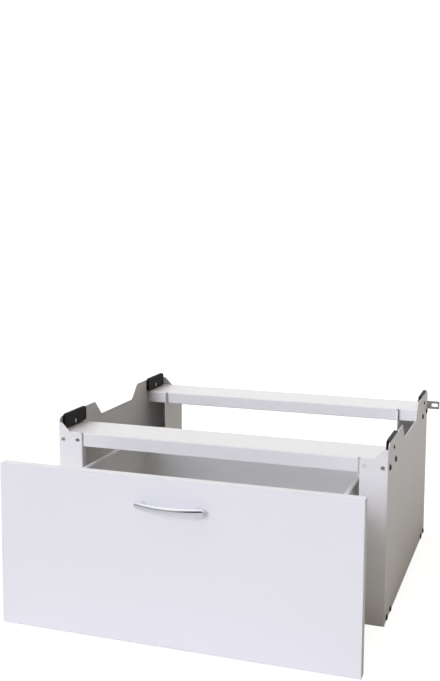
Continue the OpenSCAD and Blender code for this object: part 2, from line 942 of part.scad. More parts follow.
module drawer_front() {
  half = front_w / 2;
  color(board_white) in_drawer()
    difference() {
      intersection() {
        along_y(-front_t, front_t)
          polygon(rounded(
            [[-half, front_z], [half, front_z], [half, front_top], [-half, front_top]],
            [front_r, front_r, front_r, front_r]));
        along_x(-half - 1, front_w + 2)
          polygon(rounded(
            [
              [-front_t, front_z - eps], [0, front_z - eps],
              [0, front_top + eps], [-front_t, front_top + eps]
            ],
            [front_r, 0, 0, front_r]));
        linear_extrude(front_top + 1)
          polygon(rounded(
            [[-half - eps, -front_t], [half + eps, -front_t], [half + eps, 0], [-half - eps, 0]],
            [front_r, front_r, 0, 0]));
      }
      both_sides() {
        for (z = board_screw_z) bar_y([board_screw_x, -board_pilot_l - 0.5, z], tap_r, board_pilot_l + 1);
        bar_y([handle_pitch / 2, -front_t - 1, handle_z], screw_hole_r, front_t + 2);
      }
    }
}

module front_screws() {
  color(zinc) in_drawer() both_sides()
    for (z = board_screw_z)
      translate([board_screw_x, box_t, z]) rotate([-90, 0, 0]) screw(screw_r, board_pilot_l, pan_head);
}

module front_buffers() {
  color(rubber_black) in_drawer() both_sides()
    for (z = [front_z + buffer_in, front_top - 2 * buffer_in])
      bar_y([lip_x + 2 * buffer_in, 0, z], buffer_r, buffer_t);
}

// ---- Handle ----

// Bowed band on two posts, in one casting
module handle() {
  band_front = -front_t - handle_out;
  centre_y = band_front + band_r;
  post_end = centre_y - sqrt(pow(band_r - handle_t / 2, 2) - pow(handle_pitch / 2, 2));
  half_l = handle_l / 2;
  half_h = handle_h / 2;
  end_r = handle_h * 0.4;
  color(chrome) in_drawer()
    difference() {
      union() {
        intersection() {
          translate([0, centre_y, handle_z]) rotate_extrude($fn = 360)
            translate([band_r - handle_t, -half_h])
              polygon(rounded(
                [[0, 0], [handle_t, 0], [handle_t, handle_h], [0, handle_h]],
                [0.8, 1.6, 1.6, 0.8]));
          along_y(band_front - 1, handle_bow + handle_t + 2)
            polygon(rounded(
              [
                [-half_l, handle_z - half_h], [half_l, handle_z - half_h],
                [half_l, handle_z + half_h], [-half_l, handle_z + half_h]
              ],
              [end_r, end_r, end_r, end_r]));
        }
        both_sides() bar_y([handle_pitch / 2, post_end, handle_z], post_r, -front_t - post_end);
      }
      both_sides() bar_y([handle_pitch / 2, -front_t - post_bore_l, handle_z], tap_r, post_bore_l + 1);
    }
}

module handle_screws() {
  color(zinc) in_drawer() both_sides()
    translate([handle_pitch / 2, 0, handle_z]) rotate([-90, 0, 0])
      screw(screw_r, front_t + post_bore_l - 1, pan_head);
}

side_panel_left();
side_panel_right();
top_rail_front();
top_rail_rear();
bottom_rail_front();
bottom_rail_rear();
frame_bolts();
frame_nuts();
rail_screws();
foot_pads();
side_pad_front_left();
side_pad_front_right();
side_pad_rear_left();
side_pad_rear_right();
side_pad_screws();
side_pad_nuts();
wall_bracket_left();
wall_bracket_right();
bracket_screws();
bracket_nuts();
slide_outer_left();
slide_outer_right();
slide_fixing_screws();
slide_middle_left();
slide_middle_right();
outer_ball_strips_left();
outer_ball_strips_right();
outer_balls_left();
outer_balls_right();
inner_ball_strips_left();
inner_ball_strips_right();
inner_balls_left();
inner_balls_right();
slide_inner_left();
slide_inner_right();
slide_inner_screws();
drawer_tray();
drawer_back();
drawer_inner_front();
drawer_rivets();
drawer_front();
front_screws();
front_buffers();
handle();
handle_screws();
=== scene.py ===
import json
import math

import bmesh
import bpy
from mathutils import Matrix, Vector

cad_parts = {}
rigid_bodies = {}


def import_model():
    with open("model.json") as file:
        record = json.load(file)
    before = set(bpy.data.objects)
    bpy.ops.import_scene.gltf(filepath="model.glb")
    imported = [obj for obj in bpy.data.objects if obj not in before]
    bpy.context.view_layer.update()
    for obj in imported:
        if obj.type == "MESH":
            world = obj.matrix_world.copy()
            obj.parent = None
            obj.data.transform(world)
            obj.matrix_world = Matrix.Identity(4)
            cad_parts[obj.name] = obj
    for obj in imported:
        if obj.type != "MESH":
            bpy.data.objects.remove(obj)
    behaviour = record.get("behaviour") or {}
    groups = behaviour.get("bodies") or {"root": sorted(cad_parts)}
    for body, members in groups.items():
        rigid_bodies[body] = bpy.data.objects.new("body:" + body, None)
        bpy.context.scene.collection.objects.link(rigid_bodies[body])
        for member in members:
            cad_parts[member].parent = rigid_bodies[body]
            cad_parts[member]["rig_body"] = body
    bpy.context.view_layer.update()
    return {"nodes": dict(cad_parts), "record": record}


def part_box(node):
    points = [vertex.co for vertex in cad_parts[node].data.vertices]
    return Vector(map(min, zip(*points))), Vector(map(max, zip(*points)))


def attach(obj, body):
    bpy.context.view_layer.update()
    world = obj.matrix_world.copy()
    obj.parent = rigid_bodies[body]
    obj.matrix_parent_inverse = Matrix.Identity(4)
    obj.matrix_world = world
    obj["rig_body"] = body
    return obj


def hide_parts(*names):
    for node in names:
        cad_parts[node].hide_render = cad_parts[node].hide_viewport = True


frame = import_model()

NODES = frame["nodes"]
SLOTS = {part["node"]: part["material_slot"] for part in frame["record"]["subparts"]}
MM = 0.001

# Corners closer than MERGE become one. SLIVER is the shortest edge left after a bevel.
MERGE = 0.004 * MM
SLIVER = 0.001 * MM

# Faces that lie in one plane within this angle, in degrees, become one.
ONE_PLANE = 0.6

# Radians that each fastener of a set is turned on from the one before.
GOLDEN_TURN = 2.4


# ---- Finishes ----

class Wire:
    """An output socket that takes part in Python arithmetic, which adds Math nodes."""

    def __init__(self, graph, socket):
        self.graph = graph
        self.socket = socket

    def math(self, operation, first, second):
        return self.graph.node("ShaderNodeMath", {"operation": operation}, {0: first, 1: second})

    def __add__(self, other):
        return self.math("ADD", self, other)

    def __radd__(self, other):
        return self.math("ADD", other, self)

    def __sub__(self, other):
        return self.math("SUBTRACT", self, other)

    def __rsub__(self, other):
        return self.math("SUBTRACT", other, self)

    def __mul__(self, other):
        return self.math("MULTIPLY", self, other)

    def __rmul__(self, other):
        return self.math("MULTIPLY", other, self)

    def __abs__(self):
        return self.math("ABSOLUTE", self, 0)


class Graph:
    """A node tree, to which nodes are added with their settings, values and links."""

    def __init__(self, tree):
        self.tree = tree

    def node(self, kind, settings=None, values=None, output=0):
        """Adds a node: its settings first, then the values or links of its sockets."""
        made = self.tree.nodes.new(kind)
        for name, value in (settings or {}).items():
            setattr(made, name, value)
        for socket, value in (values or {}).items():
            self.give(made.inputs[socket], value)
        return Wire(self, made.outputs[output])

    def give(self, socket, value):
        """Links a wire to a socket, or sets the socket to a plain value."""
        if isinstance(value, Wire):
            self.tree.links.new(value.socket, socket)
        else:
            socket.default_value = value

    def ramp(self, value, low, high):
        """0 below low, 1 above high and smooth between."""
        return self.node("ShaderNodeMapRange", {"interpolation_type": "SMOOTHSTEP"},
                         {"Value": value, "From Min": low, "From Max": high})


class Finish(Graph):
    """A material built from nodes round its Principled shader, on Object coordinates."""

    def __init__(self, name, constants):
        self.material = bpy.data.materials.new(name)
        self.material.use_nodes = True
        super().__init__(self.material.node_tree)
        self.shader = self.tree.nodes["Principled BSDF"]
        self.place = self.node("ShaderNodeTexCoord", output="Object")
        self.feed(constants)

    def feed(self, values):
        """Sets or links sockets of the shader itself."""
        for socket, value in values.items():
            self.give(self.shader.inputs[socket], value)

    def noise(self, size, detail, stretch=(1, 1, 1)):
        """Noise from 0 to 1 in patches about size metres across, drawn out along the axes by stretch."""
        drawn = self.node("ShaderNodeMapping", None,
                          {"Vector": self.place, "Scale": [1 / s for s in stretch]})
        return self.node("ShaderNodeTexNoise", None,
                         {"Vector": drawn, "Scale": 1 / size, "Detail": detail})

    def mix(self, factor, first, second):
        """A colour between two."""
        return self.node("ShaderNodeMix", {"data_type": "RGBA"},
                         {0: factor, 6: first, 7: second}, output=2)

    def along(self, axis):
        """The place along one axis, in metres."""
        return self.node("ShaderNodeSeparateXYZ", None, {0: self.place}, output=axis)

    def facing(self, axis):
        """How far the surface faces along one axis, from -1 to 1."""
        normal = self.node("ShaderNodeNewGeometry", output="Normal")
        return self.node("ShaderNodeSeparateXYZ", None, {0: normal}, output=axis)

    def relief(self, height, depth, strength):
        """Bump whose height from 0 to 1 stands for depth in metres."""
        self.feed({"Normal": self.node("ShaderNodeBump", None, {
            "Height": height, "Distance": depth, "Strength": strength})})


def tint(level, warmth=0.0):
    """A grey of that level. Warmth above 0 makes it yellowish, and below 0 bluish."""
    return (level * (1 + max(warmth, 0)), level, level * (1 - warmth), 1)


def powder_coat():
    """Satin white powder coat on sheet steel: orange peel, broad unevenness, dust along the floor."""
    dust_height, dust_share, dust_colour = 50 * MM, 0.35, tint(0.45, 0.05)
    finish = Finish("white_powder_coat", {"IOR": 1.5})
    broad = finish.noise(size=0.3, detail=3)
    speck = finish.noise(size=0.004, detail=3)
    white = finish.mix(broad, tint(0.80, 0.004), tint(0.84, -0.004))
    low = 1 - finish.ramp(finish.along("Z"), 0.0, dust_height)
    dusty = finish.mix(low * speck * dust_share, white, dust_colour)
    peel = finish.noise(size=0.0022, detail=1)
    rubbed = finish.ramp(finish.noise(size=0.05, detail=6, stretch=(1, 1, 5)), 0.55, 0.75)
    finish.feed({"Base Color": dusty, "Roughness": 0.36 + 0.08 * broad + 0.07 * rubbed})
    finish.relief(peel, depth=0.06 * MM, strength=0.5)
    return finish.material


def laminate(node):
    """White laminated board with edge bands, whose joints show as fine lines on its front and back."""
    band, seam_core, seam_edge, seam_share, seam_colour = 0.9 * MM, 0.05 * MM, 0.16 * MM, 0.4, tint(0.4)
    white_low, white_high = (0.755, 0.767, 0.797, 1), (0.775, 0.786, 0.816, 1)
    low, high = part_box(node)
    finish = Finish("white_laminate", {"IOR": 1.48})
    broad = finish.noise(size=0.4, detail=2)
    white = finish.mix(broad, white_low, white_high)
    pore = finish.noise(size=0.0011, detail=2)
    seam = 0
    for axis in ("X", "Z"):
        index = "XYZ".index(axis)
        middle = (low[index] + high[index]) / 2
        half = (high[index] - low[index]) / 2
        off = abs(abs(finish.along(axis) - middle) - (half - band))
        seam = seam + (1 - finish.ramp(off, seam_core, seam_edge))
    seam = finish.node("ShaderNodeMath", {"operation": "MINIMUM"}, {0: seam, 1: 1.0})
    flat = finish.ramp(abs(finish.facing("Y")), 0.9, 0.98)
    finish.feed({"Base Color": finish.mix(seam * flat * seam_share, white, seam_colour),
                 "Roughness": 0.3 + 0.06 * pore + 0.1 * seam})
    finish.relief(pore, depth=0.03 * MM, strength=0.4)
    return finish.material


def plated(name, level, roughness, drawn=(1, 1, 1)):
    """Bright metal with a cloudy skin, and fine lines along the way that the piece was drawn."""
    finish = Finish(name, {"Metallic": 1.0})
    cloud = finish.noise(size=0.018, detail=4)
    line = finish.noise(size=0.0006, detail=2, stretch=drawn)
    finish.feed({"Base Color": finish.mix(cloud, tint(level, 0.04), tint(level * 1.12, -0.01)),
                 "Roughness": roughness - 0.08 + 0.1 * cloud + 0.08 * line})
    finish.relief(line, depth=0.02 * MM, strength=0.4)
    return finish.material


def black_steel():
    """Black passivated steel of the bolts."""
    finish = Finish("black_steel", {"Metallic": 0.55})
    cloud = finish.noise(size=0.003, detail=3)
    finish.feed({"Base Color": finish.mix(cloud, tint(0.018, 0.05), tint(0.04, 0.08)),
                 "Roughness": 0.33 + 0.16 * cloud})
    finish.relief(finish.noise(size=0.0004, detail=1), depth=0.01 * MM, strength=0.5)
    return finish.material


def chrome():
    """Polished chrome with faint wipe marks."""
    finish = Finish("polished_chrome", {"Metallic": 1.0})
    wipe = finish.noise(size=0.012, detail=4, stretch=(4, 1, 1))
    finish.feed({"Base Color": finish.mix(wipe, tint(0.80, -0.05), tint(0.86, -0.05)),
                 "Roughness": 0.05 + 0.06 * wipe})
    return finish.material


def rubber():
    """Black moulded rubber, dusty where it faces up."""
    dust_share = 0.15
    finish = Finish("black_rubber", {"IOR": 1.45, "Specular IOR Level": 0.2})
    grain = finish.noise(size=0.0012, detail=3)
    patches = finish.noise(size=0.01, detail=4)
    dust = finish.ramp(finish.facing("Z"), 0.3, 1.0) * finish.ramp(patches, 0.35, 0.75)
    finish.feed({"Base Color": finish.mix(dust * dust_share, tint(0.008), tint(0.06, 0.03)),
                 "Roughness": 0.62 + 0.2 * grain})
    finish.relief(grain, depth=0.05 * MM, strength=0.6)
    return finish.material


def strip_plastic():
    """Grey moulded plastic of the ball strips."""
    finish = Finish("grey_strip", {"IOR": 1.5})
    cloud = finish.noise(size=0.01, detail=3)
    finish.feed({"Base Color": finish.mix(cloud, tint(0.1), tint(0.13)),
                 "Roughness": 0.45 + 0.1 * cloud})
    return finish.material


COAT = powder_coat()
BOARD = laminate("drawer_front")
ZINC = plated("zinc_plate", level=0.5, roughness=0.36)
DRAWN_ZINC = plated("drawn_zinc", level=0.56, roughness=0.3, drawn=(1, 60, 1))
BALL_STEEL = plated("ball_steel", level=0.6, roughness=0.16)
BLACK = black_steel()
NICKEL = plated("bright_nickel", level=0.62, roughness=0.14)
CHROME = chrome()
RUBBER = rubber()
STRIP = strip_plastic()


# ---- Modelling helpers ----

def select_only(*things):
    bpy.ops.object.select_all(action="DESELECT")
    for thing in things:
        thing.select_set(True)
    if things:
        bpy.context.view_layer.objects.active = things[0]


def open_mesh(piece):
    """Enters edit mode."""
    select_only(piece)
    bpy.ops.object.mode_set(mode="EDIT")


def close_mesh():
    """Leaves edit mode, with every face turned outwards."""
    bpy.ops.mesh.select_all(action="SELECT")
    bpy.ops.mesh.normals_make_consistent(inside=False)
    bpy.ops.object.mode_set(mode="OBJECT")


def pick(kind, test):
    """In edit mode, selects each FACE or VERT whose place, in mm, and normal pass the test."""
    bpy.ops.mesh.select_mode(type=kind)
    bpy.ops.mesh.select_all(action="DESELECT")
    piece = bpy.context.object
    grid = bmesh.from_edit_mesh(piece.data)
    if kind == "FACE":
        for face in grid.faces:
            face.select_set(test(face.calc_center_median() / MM, face.normal))
    else:
        for corner in grid.verts:
            corner.select_set(test(corner.co / MM, corner.normal))
    bmesh.update_edit_mesh(piece.data)


def apply_place(piece):
    """Moves the place, turn and scale of a piece into its mesh."""
    select_only(piece)
    bpy.ops.object.transform_apply(location=True, rotation=True, scale=True)


def turned(name, profile, sides):
    """A solid turned about Z, drawn ring by ring from its lowest end: pairs of radius and height in mm."""
    select_only()
    radius, height = profile[0]
    bpy.ops.mesh.primitive_circle_add(vertices=sides, radius=radius * MM, fill_type="NGON",
                                      location=(0, 0, height * MM))
    piece = bpy.context.object
    piece.name = name
    apply_place(piece)
    open_mesh(piece)
    bpy.ops.mesh.select_all(action="SELECT")
    for next_radius, next_height in profile[1:]:
        bpy.ops.mesh.extrude_region_move(
            TRANSFORM_OT_translate={"value": (0, 0, (next_height - height) * MM)})
        growth = next_radius / radius
        bpy.ops.transform.resize(value=(growth, growth, 1), center_override=(0, 0, next_height * MM))
        radius, height = next_radius, next_height
    close_mesh()
    return piece


def apply_modifier(piece, kind, **settings):
    modifier = piece.modifiers.new(kind.lower(), kind)
    for name, value in settings.items():
        setattr(modifier, name, value)
    select_only(piece)
    bpy.ops.object.modifier_apply(modifier=modifier.name)


def combine(piece, tool, operation):
    """Cuts the tool from the piece, joins it or keeps what both share, and removes the tool."""
    apply_modifier(piece, "BOOLEAN", object=tool, operation=operation, solver="EXACT")
    bpy.data.objects.remove(tool)


def soften(piece, width, segments, angle=38):
    """Bevels the edges sharper than angle degrees, width in mm, and drops the slivers."""
    apply_modifier(piece, "BEVEL", width=width * MM, segments=segments, limit_method="ANGLE",
                   angle_limit=math.radians(angle), use_clamp_overlap=True)
    open_mesh(piece)
    bpy.ops.mesh.select_all(action="SELECT")
    bpy.ops.mesh.remove_doubles(threshold=SLIVER)
    bpy.ops.mesh.dissolve_degenerate(threshold=SLIVER)
    close_mesh()


def shade(piece, angle=34):
    """Smooth shading with edges kept sharp above angle degrees, and flat faces kept flat."""
    select_only(piece)
    bpy.ops.object.shade_smooth_by_angle(angle=math.radians(angle))
    apply_modifier(piece, "WEIGHTED_NORMAL", keep_sharp=True)


def finish_piece(piece, look, *nodes):
    """Gives a piece its look, hangs it on the body of the CAD nodes and hides them, so that it stands for
    them.
    """
    body, slot = NODES[nodes[0]]["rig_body"], SLOTS[nodes[0]]
    piece.data.materials.clear()
    piece.data.materials.append(look)
    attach(piece, body)
    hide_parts(*nodes)


def formed(node, edge, look, angle=34, segments=2, cuts=()):
    """A merged copy of a CAD node, less the cuts and with edges softened by edge mm, which stands for it."""
    piece = bpy.data.objects.new(node + "_formed", NODES[node].data.copy())
    bpy.context.scene.collection.objects.link(piece)
    open_mesh(piece)
    bpy.ops.mesh.select_all(action="SELECT")
    bpy.ops.mesh.remove_doubles(threshold=MERGE)
    bpy.ops.mesh.dissolve_limited(angle_limit=math.radians(ONE_PLANE))
    close_mesh()
    for cut in cuts:
        combine(piece, cut, "DIFFERENCE")
    if edge:
        soften(piece, edge, segments)
    shade(piece, angle)
    finish_piece(piece, look, node)


def solids(node):
    """The box of each separate solid of a CAD node, as lowest and highest corner in metres."""
    grid = bmesh.new()
    grid.from_mesh(NODES[node].data)
    bmesh.ops.remove_doubles(grid, verts=grid.verts, dist=MERGE)
    boxes = []
    left = set(grid.verts)
    while left:
        group = {left.pop()}
        newest = set(group)
        while newest:
            newest = {edge.other_vert(corner) for corner in newest for edge in corner.link_edges} - group
            group |= newest
        left -= group
        boxes.append([Vector(end(corner.co[axis] for corner in group) for axis in range(3))
                      for end in (min, max)])
    grid.free()
    return sorted(boxes, key=lambda box: tuple(round(value, 4) for value in box[0]))


def stands(node, heading, head_height):
    """A frame for each solid of a fastener node, with its origin at the seat of the head. Its Z is the
    heading, from shank to head, in which a third entry of X points away from the middle."""
    frames = []
    for count, (low, high) in enumerate(solids(node)):
        middle = (low + high) / 2
        outward = math.copysign(1, middle.x)
        up = Vector((heading[0] * outward, heading[1], heading[2]))
        top = middle + up * abs((high - low).dot(up)) / 2
        facing = up.to_track_quat("Z", "Y").to_matrix().to_4x4()
        spin = Matrix.Rotation(GOLDEN_TURN * count, 4, "Z")
        frames.append(Matrix.Translation(top - up * head_height * MM) @ facing @ spin)
    return frames


def set_out(master, node, heading, head_height, look):
    """Copies of a fastener on their places, joined as the set that stands for its CAD node."""
    copies = []
    for place in stands(node, heading, head_height):
        mesh = master.data.copy()
        mesh.transform(place)
        copy = bpy.data.objects.new(node + "_set", mesh)
        bpy.context.scene.collection.objects.link(copy)
        copies.append(copy)
    bpy.data.objects.remove(master)
    select_only(*copies)
    bpy.ops.object.join()
    finish_piece(copies[0], look, node)


# ---- Fasteners. Their sizes are in mm, and a head is its radius and height. ----

SCREW_SIDES = 28
RING_SIDES = 48

# How far, in mm, a cutting tool stands out of the surface that it cuts.
OVERCUT = 0.3

# The way from shank to head, in which a third entry of X points away from the middle.
OUTWARD, INWARD = (1, 0, 0), (-1, 0, 0)
FRONTWARD, BACKWARD = (0, -1, 0), (0, 1, 0)


def thread(radius, length, pitch):
    """Profile of a threaded shank from its free end, at height -length, up to its head."""
    root, lead = radius - 0.6 * pitch, 0.6
    profile = [(root - 0.3 * pitch, -length), (root, -length + lead * pitch)]
    turns = int((length - 1.5 * pitch) / pitch)
    for turn in range(turns):
        low = -length + (lead + turn) * pitch
        profile += [(root, low + 0.1 * pitch), (radius, low + 0.45 * pitch),
                    (radius, low + 0.55 * pitch), (root, low + 0.9 * pitch)]
    return profile + [(radius, -length + (lead + turns + 0.3) * pitch), (radius, -0.001)]


def domed(radius, height):
    """Profile of a domed head, from its rim up to a small flat on top."""
    rim, steps, crown = 0.35, 5, 0.22
    profile = [(radius * 0.97, 0), (radius, height * 0.08), (radius, height * rim)]
    for step in range(1, steps + 1):
        angle = math.pi / 2 * step / (steps + 0.6)
        profile.append((radius * (crown + (1 - crown) * math.cos(angle)),
                        height * (rim + (1 - rim) * math.sin(angle))))
    top_radius = profile[-1][0]
    return profile + [(top_radius * 0.6, height)]


def cross_tool(reach, width, top, depth):
    """Tapered cross that cuts a screwdriver recess from the height top down."""
    taper, half = 0.45, width / 2
    select_only()
    bpy.ops.mesh.primitive_cube_add(size=1, location=(0, 0, (top - depth / 2) * MM))
    tool = bpy.context.object
    tool.scale = (width * MM, width * MM, depth * MM)
    apply_place(tool)
    open_mesh(tool)
    for turn in range(4):
        way = Vector((math.cos(turn * math.pi / 2), math.sin(turn * math.pi / 2), 0))
        pick("FACE", lambda centre, normal: normal.dot(way) > 0.9 and abs(centre.dot(way) - half) < 0.01)
        bpy.ops.mesh.extrude_region_move(TRANSFORM_OT_translate={"value": way * (reach - half) * MM})
    pick("FACE", lambda centre, normal: normal.z < -0.9)
    bpy.ops.transform.resize(value=(taper, taper, 1), center_override=(0, 0, (top - depth) * MM))
    close_mesh()
    return tool


def socket_tool(flat, top, depth):
    """Hexagonal tool that cuts a key socket, with a drill cone at its bottom."""
    radius = flat / math.sqrt(3)
    cone = [(0.05, top - depth - radius * 0.5), (radius, top - depth)]
    return turned("socket_tool", cone + [(radius, top + 1)], 6)


def cross_screw(radius, length, head, pitch, recess):
    """Screw with a domed head and a cross recess that reaches out to the radius recess."""
    screw = turned("screw", thread(radius, length, pitch) + domed(*head), SCREW_SIDES)
    slot, depth = recess * 0.36, recess * 0.85
    combine(screw, cross_tool(recess, slot, head[1] + OVERCUT, depth + OVERCUT), "DIFFERENCE")
    soften(screw, 0.08, segments=1, angle=50)
    shade(screw)
    return screw


def button_bolt(radius, length, head, pitch):
    """Button-head bolt with a hexagonal socket."""
    key, socket_top, socket_depth = 4, head[1] + 0.2, 1.9
    bolt = turned("bolt", thread(radius, length, pitch) + domed(*head), SCREW_SIDES)
    combine(bolt, socket_tool(key, socket_top, socket_depth), "DIFFERENCE")
    soften(bolt, 0.1, segments=1, angle=50)
    shade(bolt)
    return bolt


def hex_nut(flat, height, bore, rim_radius, rim_height):
    """Nut of width flat, whose corners are chamfered at the free end, standing on a round rim."""
    corner, chamfer_radius = flat / math.sqrt(3), flat * 0.48
    drop = (corner - chamfer_radius) * 0.58
    nut = turned("nut", [(corner, 0.05), (corner, height)], 6)
    barrel = [(corner + 0.2, -1), (corner + 0.2, height - drop), (chamfer_radius, height)]
    rim = [(rim_radius - 0.2, 0), (rim_radius, 0.2), (rim_radius, rim_height * 0.6),
           (corner * 0.97, rim_height)]
    hole = [(bore, -1), (bore, height - 0.4), (bore + 0.8, height + 0.4)]
    combine(nut, turned("nut_barrel", barrel, RING_SIDES), "INTERSECT")
    combine(nut, turned("nut_rim", rim, RING_SIDES), "UNION")
    combine(nut, turned("nut_bore", hole, 32), "DIFFERENCE")
    soften(nut, 0.12, segments=1, angle=40)
    shade(nut)
    return nut


def blind_rivet(radius, grip, head, tail_radius, tail_length):
    """Set blind rivet: domed head with the mandrel's hole, and the swollen tail behind the sheets."""
    tail = [(radius * 0.5, -1), (tail_radius * 0.8, -0.85), (tail_radius, -0.55), (tail_radius * 0.9, -0.15)]
    profile = [(ring, -grip + share * tail_length) for ring, share in tail]
    rivet = turned("rivet", profile + [(radius, -grip), (radius, -0.01)] + domed(*head), SCREW_SIDES)
    hole = [(0.05, 0.0), (0.95, 0.2), (0.95, head[1] + 1)]
    combine(rivet, turned("mandrel_hole", hole, 20), "DIFFERENCE")
    soften(rivet, 0.06, segments=1, angle=50)
    shade(rivet)
    return rivet


def fit_screws(node, heading, look, head, **sizes):
    """Models a screw with a cross recess and sets it out."""
    set_out(cross_screw(head=head, **sizes), node, heading, head[1], look)


def fit_nuts(node, heading, height, **sizes):
    """Models a nut and sets it out."""
    set_out(hex_nut(height=height, **sizes), node, heading, height, ZINC)


def fit_fasteners():
    """Models each fastener once and sets it out where its CAD solids are."""
    bolt_head, rivet_head, low_head, pan_head = (5.5, 2.8), (3.6, 1.1), (3.8, 1.4), (4, 2.2)
    bolt = button_bolt(radius=2.95, length=11, head=bolt_head, pitch=1.0)
    set_out(bolt, "frame_bolts", OUTWARD, bolt_head[1], BLACK)
    fit_nuts("frame_nuts", INWARD, flat=10, height=5, bore=3, rim_radius=6.8, rim_height=1.2)
    fit_screws("side_pad_screws", OUTWARD, BLACK, head=(3.5, 1.8),
               radius=1.95, length=6.6, pitch=0.7, recess=1.9)
    fit_nuts("side_pad_nuts", INWARD, flat=7, height=2.8, bore=1.98, rim_radius=4.1, rim_height=0.8)
    fit_screws("rail_screws", FRONTWARD, NICKEL, head=(4, 1.6),
               radius=2.45, length=9, pitch=0.8, recess=2.1)
    fit_screws("bracket_screws", BACKWARD, ZINC, head=(4.5, 2.2),
               radius=2.45, length=9.7, pitch=0.8, recess=2.3)
    fit_nuts("bracket_nuts", FRONTWARD, flat=8, height=4, bore=2.5, rim_radius=5.5, rim_height=1)
    fit_screws("slide_fixing_screws", INWARD, ZINC, head=low_head,
               radius=1.95, length=5.4, pitch=0.7, recess=1.9)
    fit_screws("slide_inner_screws", INWARD, ZINC, head=low_head,
               radius=1.95, length=3.0, pitch=0.7, recess=1.9)
    fit_screws("front_screws", BACKWARD, ZINC, head=pan_head,
               radius=1.95, length=14, pitch=1.2, recess=2.1)
    fit_screws("handle_screws", BACKWARD, ZINC, head=pan_head,
               radius=1.95, length=26, pitch=0.7, recess=2.1)
    rivet = blind_rivet(radius=1.95, grip=2, head=rivet_head, tail_radius=2.6, tail_length=2.4)
    set_out(rivet, "drawer_rivets", OUTWARD, rivet_head[1], ZINC)


# ---- Handle ----

def handle():
    """Bowed band of D section with rounded ends, on two flared posts, in one polished casting."""
    low, high = (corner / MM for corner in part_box("handle"))
    half_l = (high.x - low.x) / 2
    half_h = (high.z - low.z) / 2
    middle_z = (high.z + low.z) / 2
    crown, back, bow, bow_steps = 3.4, 1.6, 14, 56
    end_r, tip_r, tip_share = 4.8, 1.3, 0.6
    rings_to_tip = (4.4, 3.9, 3.3, 2.7, 2.1, 1.5, 1.0, 0.6, 0.3, 0.1, 0)
    arc_r = (half_l ** 2 + bow ** 2) / (2 * bow)
    spine_r = arc_r - crown
    centre = Vector((0, low.y + arc_r, middle_z))
    end_angle = math.asin(half_l / arc_r) - end_r / spine_r

    # The D section, in the middle of the band.
    spine = (0, (low.y + crown) * MM, middle_z * MM)
    select_only()
    bpy.ops.mesh.primitive_circle_add(vertices=RING_SIDES, radius=half_h * MM, fill_type="NGON",
                                      rotation=(0, math.pi / 2, 0), location=spine)
    band = bpy.context.object
    band.name = "handle_cast"
    apply_place(band)
    open_mesh(band)
    bpy.ops.mesh.select_all(action="SELECT")
    bpy.ops.transform.resize(value=(1, crown / half_h, 1), center_override=spine)
    pick("VERT", lambda place, normal: place.y > low.y + crown + 0.01)
    bpy.ops.transform.resize(value=(1, back / crown, 1), center_override=spine)
    bpy.ops.object.mode_set(mode="OBJECT")

    # The band, swept from one end to the other.
    band.data.transform(Matrix.Translation(centre * MM) @ Matrix.Rotation(end_angle, 4, "Z")
                        @ Matrix.Translation(-centre * MM))
    open_mesh(band)
    bpy.ops.mesh.select_all(action="SELECT")
    bpy.ops.mesh.spin(steps=bow_steps, angle=2 * end_angle, center=centre * MM, axis=(0, 0, 1))
    bpy.ops.mesh.select_all(action="SELECT")
    bpy.ops.mesh.remove_doubles(threshold=MERGE)
    bpy.ops.mesh.normals_make_consistent(inside=False)

    # The rounded ends, ring by ring.
    for side in (-1, 1):
        tangent = Vector((side * math.cos(end_angle), math.sin(end_angle), 0))
        middle = centre + spine_r * Vector((side * math.sin(end_angle), -math.cos(end_angle), 0))
        pick("FACE", lambda place, normal: normal.dot(tangent) > 0.999)
        tall, thick, reach = 1, 1, 0
        for left in rings_to_tip:
            next_tall = (half_h - end_r + math.sqrt(end_r ** 2 - (end_r - left) ** 2)) / half_h
            next_thick = 1 - tip_share * (1 - math.sqrt(1 - max(0, 1 - left / tip_r) ** 2))
            step = end_r - left - reach
            bpy.ops.mesh.extrude_region_move(TRANSFORM_OT_translate={"value": tangent * step * MM})
            reach += step
            flat_scale, high_scale = next_thick / thick, next_tall / tall
            bpy.ops.transform.resize(value=(flat_scale, flat_scale, high_scale),
                                     center_override=(middle + tangent * reach) * MM)
            tall, thick = next_tall, next_thick
    close_mesh()

    # The posts with their flared feet and heads, and the bores for the screws.
    pitch, post_r, neck, bore_r, bore_l = 96, 5, 0.8, 1.98, 9
    post_end = centre.y - math.sqrt((spine_r - 0.4) ** 2 - (pitch / 2) ** 2)
    length = high.y - post_end
    foot = [(post_r - 0.2, 0), (post_r, 0.2), (post_r, 1.6), (post_r * 0.95, 2.3),
            (post_r * 0.84, 3.2), (post_r * neck, 4.6)]
    head = [(post_r * neck, length - 5), (post_r * 0.84, length - 3.4), (post_r * 0.95, length - 2.2),
            (post_r * 1.1, length - 1.2), (post_r * 1.1, length)]
    for side in (-1, 1):
        place = (Matrix.Translation((side * pitch / 2 * MM, high.y * MM, middle_z * MM))
                 @ Matrix.Rotation(math.pi / 2, 4, "X"))
        post = turned("handle_post", foot + head, RING_SIDES)
        bore = turned("handle_bore", [(bore_r, -1), (bore_r, bore_l - 1), (0.2, bore_l)], 24)
        for tool, operation in ((post, "UNION"), (bore, "DIFFERENCE")):
            tool.data.transform(place)
            combine(band, tool, operation)
    shade(band, 40)
    finish_piece(band, CHROME, "handle")


# ---- Sheet metal, board, rubber and slides ----

# How far their edges are softened, in mm.
SHEET_EDGE, BRACKET_EDGE, RUBBER_EDGE, SLIDE_EDGE, STRIP_EDGE = 0.22, 0.25, 0.5, 0.08, 0.06

# Place of the adjusting slots in the front flanges, in mm from the middle and above the floor.
SLOT_X, SLOT_Z = 275, 284

